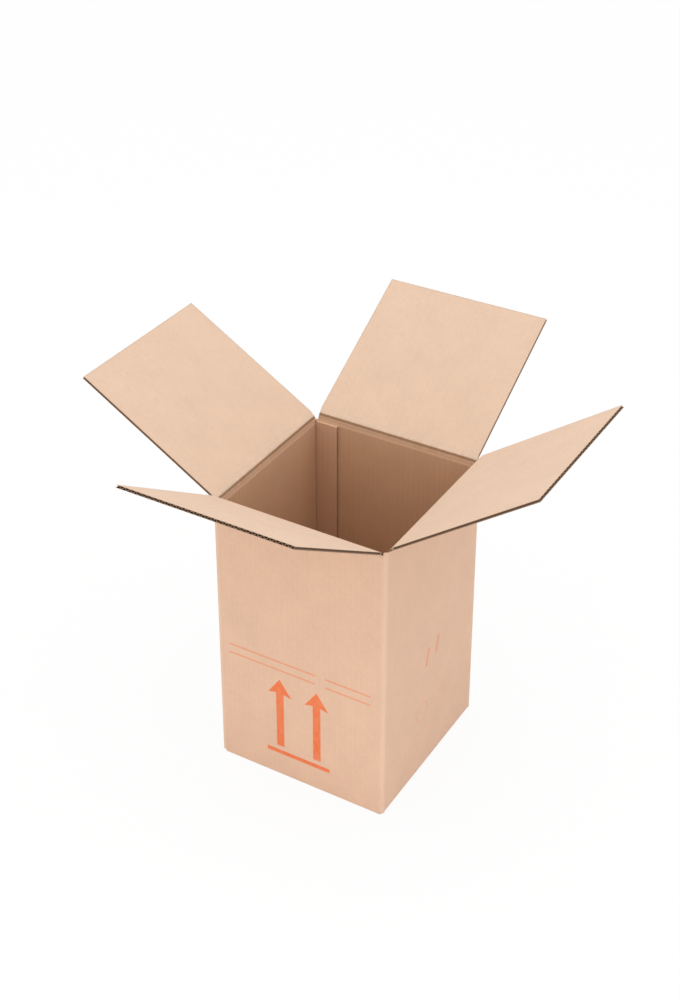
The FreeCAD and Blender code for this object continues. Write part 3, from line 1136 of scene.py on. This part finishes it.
@dataclass
class CreaseBand:
    """The paper that stays joined over a crease, pressed into a groove on the inside."""

    crease: Crease
    finishes: Finishes
    proud: float = 0.10 * MM
    buried: float = 0.06 * MM
    overlap: float = 4.4 * MM
    lip: float = 1.5 * MM
    run_out: float = 1.0 * MM
    flat: float = 0.7 * MM
    groove_radius: float = 0.7 * MM
    groove_side: tuple[tuple[float, float], ...] = ((0.65, 0.72), (0.32, 0.34), (0.10, 0.08))
    bend_reach: float = 1.2 * MM
    pieces_long: int = 48

    def inner_half(self) -> list[tuple[float, float]]:
        """Half of the band's inner side, from its end on the board to the groove.

        Returns:
            For each point its distance from the crease and its depth from the outer face.
        """
        rise = BOARD.pressed_depth
        level = self.overlap - self.run_out
        flat = self.lip + self.flat
        drop = rise(self.lip) + self.proud - self.groove_radius
        return [
            (self.overlap, rise(self.overlap) - self.buried),
            (level, rise(level) + self.proud * 0.6),
            (flat, rise(flat) + self.proud),
            (self.lip, rise(self.lip) + self.proud),
            *((self.lip * out, self.groove_radius + drop * down) for out, down in self.groove_side),
        ]

    def outer_half(self) -> list[tuple[float, float]]:
        """Half of the band's outer side, from the crease to its end on the board."""
        return [
            (self.lip, -self.proud),
            (self.overlap - self.run_out, -self.proud * 0.6),
            (self.overlap, self.buried),
        ]

    def section(self) -> list[tuple[Vector, float, float]]:
        """The band's closed outline in the plane across the crease, at rest.

        Returns:
            Points as offsets from the hinge line, each with its distance across the band,
            negative on the wall, and 1 on the inner side or 0 on the outer side.
        """
        wall = self.crease.wall_frame().to_3x3()
        flap = self.crease.flap_frame().to_3x3()
        up, into = wall.col[1], wall.col[2]
        away, deep = flap.col[1], flap.col[2]
        middle = (into + deep).normalized()
        outer = self.outer_half()
        inner = self.inner_half()
        return [
            *((into * depth - up * reach, -reach, 0.0) for reach, depth in reversed(outer)),
            (middle * -self.proud * 1.2, 0.0, 0.0),
            *((deep * depth + away * reach, reach, 0.0) for reach, depth in outer),
            *((deep * depth + away * reach, reach, 1.0) for reach, depth in inner),
            (middle * self.groove_radius, 0.0, 1.0),
            *((into * depth - up * reach, -reach, 1.0) for reach, depth in reversed(inner)),
        ]

    def extrude(self) -> bmesh.types.BMesh:
        """Extrude the section along the crease, with the board's coordinates on every corner.

        Returns:
            The band's mesh, still in bmesh.
        """
        along = self.crease.wall.along
        start = self.crease.hinge - along * BOARD.flap_half_width
        shape = bmesh.new()
        across = shape.verts.layers.float.new("across")
        inner = shape.verts.layers.float.new("inner")
        ring = []
        for offset, distance, side in self.section():
            vert = shape.verts.new(start + offset)
            vert[across] = distance
            vert[inner] = side
            ring.append(vert)
        cap = [shape.faces.new(ring)]
        step = along * (2.0 * BOARD.flap_half_width / self.pieces_long)
        for _ in range(self.pieces_long):
            grown = bmesh.ops.extrude_face_region(shape, geom=cap)["geom"]
            cap = [item for item in grown if isinstance(item, bmesh.types.BMFace)]
            moved = [item for item in grown if isinstance(item, bmesh.types.BMVert)]
            bmesh.ops.translate(shape, verts=moved, vec=step)
        bmesh.ops.recalc_face_normals(shape, faces=shape.faces[:])
        board = shape.loops.layers.uv.new("board")
        skin = shape.loops.layers.uv.new("skin")
        for piece in shape.faces:
            piece.smooth = len(piece.verts) == 4
            for loop in piece.loops:
                distance = (loop.vert.co - start).dot(along)
                loop[board].uv = (distance - BOARD.flap_half_width, loop.vert[across])
                loop[skin].uv = (loop.vert[inner], 0.0)
        for name in ("across", "inner"):
            shape.verts.layers.float.remove(shape.verts.layers.float[name])
        return shape

    def build(self) -> bpy.types.Object:
        """Make the band's object and let it bend with its flap.

        Returns:
            The band.
        """
        shape = self.extrude()
        mesh = bpy.data.meshes.new(f"{self.crease.wall.name.lower()}_crease_band")
        shape.to_mesh(mesh)
        shape.free()
        band = bpy.data.objects.new(mesh.name, mesh)
        bpy.context.scene.collection.objects.link(band)
        mesh.materials.append(self.finishes.crease)
        up = Vector((0.0, 0.0, 1.0))
        away = self.crease.flap_frame().to_3x3().col[1]
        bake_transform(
            band,
            "case",
            self.crease.wall.node,
            start=self.crease.hinge - up * self.bend_reach,
            end=self.crease.hinge + away * self.bend_reach,
        )
        return band


@dataclass(frozen=True)
class SoftLamp:
    """A square soft lamp: where it stands, the height on the box's axis that it faces, and its side."""

    name: str
    place: tuple[float, float, float]
    aim: float
    side: float
    watts: float


@dataclass
class Studio:
    """Pale floor, soft light and the camera."""

    aim: Vector = field(default_factory=lambda: Vector((-0.0786, 0.1142, 0.4169)))
    azimuth_deg: float = 30.5607
    elevation_deg: float = 28.6614
    distance: float = 1.9041
    lens_mm: float = 62.536
    sensor_mm: float = 36.0
    shift_up: float = -0.15
    sky: float = 0.90
    floor_radius: float = 6.0
    floor_tone: float = 0.93
    floor_white: float = 0.92
    lamps: tuple[SoftLamp, ...] = (
        SoftLamp("overhead", (0.0, 0.0, 2.6), 0.25, 2.2, 15.0),
        SoftLamp("front_foot", (0.06, -0.52, 0.02), 0.02, 0.4, 0.68),
        SoftLamp("right_foot", (0.52, -0.02, 0.02), 0.02, 0.4, 0.32),
    )

    def camera(self) -> bpy.types.Object:
        """Make the scene's camera at the photograph's viewing angle.

        Returns:
            The camera.
        """
        lens = bpy.data.cameras.new("camera")
        lens.lens = self.lens_mm
        lens.sensor_width = self.sensor_mm
        lens.sensor_fit = "AUTO"
        lens.shift_y = self.shift_up
        camera = bpy.data.objects.new("camera", lens)
        turn, rise = math.radians(self.azimuth_deg), math.radians(self.elevation_deg)
        back = Vector((math.sin(turn) * math.cos(rise), -math.cos(turn) * math.cos(rise), math.sin(rise)))
        camera.location = self.aim + back * self.distance
        camera.rotation_mode = "QUATERNION"
        camera.rotation_quaternion = (-back).to_track_quat("-Z", "Y")
        bpy.context.scene.collection.objects.link(camera)
        bpy.context.scene.camera = camera
        return camera

    def hang(self, lamp: SoftLamp) -> bpy.types.Object:
        """Hang a lamp that lights the box and isn't seen itself.

        Args:
            lamp: The lamp.

        Returns:
            The lamp's object.
        """
        light = bpy.data.lights.new(lamp.name, "AREA")
        light.shape = "SQUARE"
        light.size = lamp.side
        light.energy = lamp.watts
        hung = bpy.data.objects.new(lamp.name, light)
        hung.location = lamp.place
        hung.visible_camera = False
        target = Vector((0.0, 0.0, lamp.aim))
        hung.rotation_mode = "QUATERNION"
        hung.rotation_quaternion = (target - hung.location).to_track_quat("-Z", "Y")
        bpy.context.scene.collection.objects.link(hung)
        return hung

    def shown(self, graph: Graph) -> Socket:
        """1 for the rays that show the background itself, straight, in metal or through glass."""
        path = graph.node("ShaderNodeLightPath").outputs
        return graph.highest(path["Is Camera Ray"], path["Is Glossy Ray"], path["Is Transmission Ray"])

    def sky_light(self) -> None:
        """Even light from all round, which the camera sees as white."""
        world = bpy.data.worlds.new("studio")
        world.use_nodes = True
        world.node_tree.nodes.clear()
        graph = Graph(world.node_tree)
        strength = graph.total(self.sky, graph.product(self.shown(graph), 1.0 - self.sky))
        background = graph.node("ShaderNodeBackground")
        background.inputs["Color"].default_value = (1.0, 1.0, 1.0, 1.0)
        graph.feed(background.inputs["Strength"], strength)
        output = graph.node("ShaderNodeOutputWorld")
        graph.feed(output.inputs["Surface"], background.outputs[0])
        bpy.context.scene.world = world

    def floor(self) -> bpy.types.Object:
        """A plain pale floor that keeps the box's shadow.

        Returns:
            The floor.
        """
        shape = bmesh.new()
        bmesh.ops.create_circle(shape, cap_ends=True, segments=96, radius=self.floor_radius)
        mesh = bpy.data.meshes.new("floor")
        shape.to_mesh(mesh)
        shape.free()
        floor = bpy.data.objects.new("floor", mesh)
        bpy.context.scene.collection.objects.link(floor)
        material = bpy.data.materials.new("floor_white")
        material.use_nodes = True
        material.node_tree.nodes.clear()
        graph = Graph(material.node_tree)
        matt = graph.node("ShaderNodeBsdfDiffuse")
        matt.inputs["Color"].default_value = (self.floor_tone, self.floor_tone, self.floor_tone, 1.0)
        white = graph.node("ShaderNodeEmission")
        white.inputs["Strength"].default_value = 1.0
        mixed = graph.node("ShaderNodeMixShader")
        graph.feed(mixed.inputs[0], graph.product(self.shown(graph), self.floor_white))
        graph.feed(mixed.inputs[1], matt.outputs[0])
        graph.feed(mixed.inputs[2], white.outputs[0])
        output = graph.node("ShaderNodeOutputMaterial")
        graph.feed(output.inputs["Surface"], mixed.outputs[0])
        mesh.materials.append(material)
        return floor

    def build(self) -> None:
        """Set up the light, the floor and the camera."""
        bpy.context.scene.view_settings.view_transform = "Standard"
        self.sky_light()
        self.floor()
        for lamp in self.lamps:
            self.hang(lamp)
        self.camera()


def main() -> None:
    """Build the looks in order."""
    logging.basicConfig(level=logging.INFO, format="%(name)s: %(message)s")
    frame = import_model()
    finishes = Finishes()
    case = CaseWalls(frame, finishes).dress()
    LOG.info("dressed %s", case.name)
    for crease in CREASES:
        flap = TopFlap(crease, frame, finishes).dress()
        band = CreaseBand(crease, finishes).build()
        LOG.info("dressed %s and built %s", flap.name, band.name)
    Studio().build()


if __name__ == "__main__":
    main()
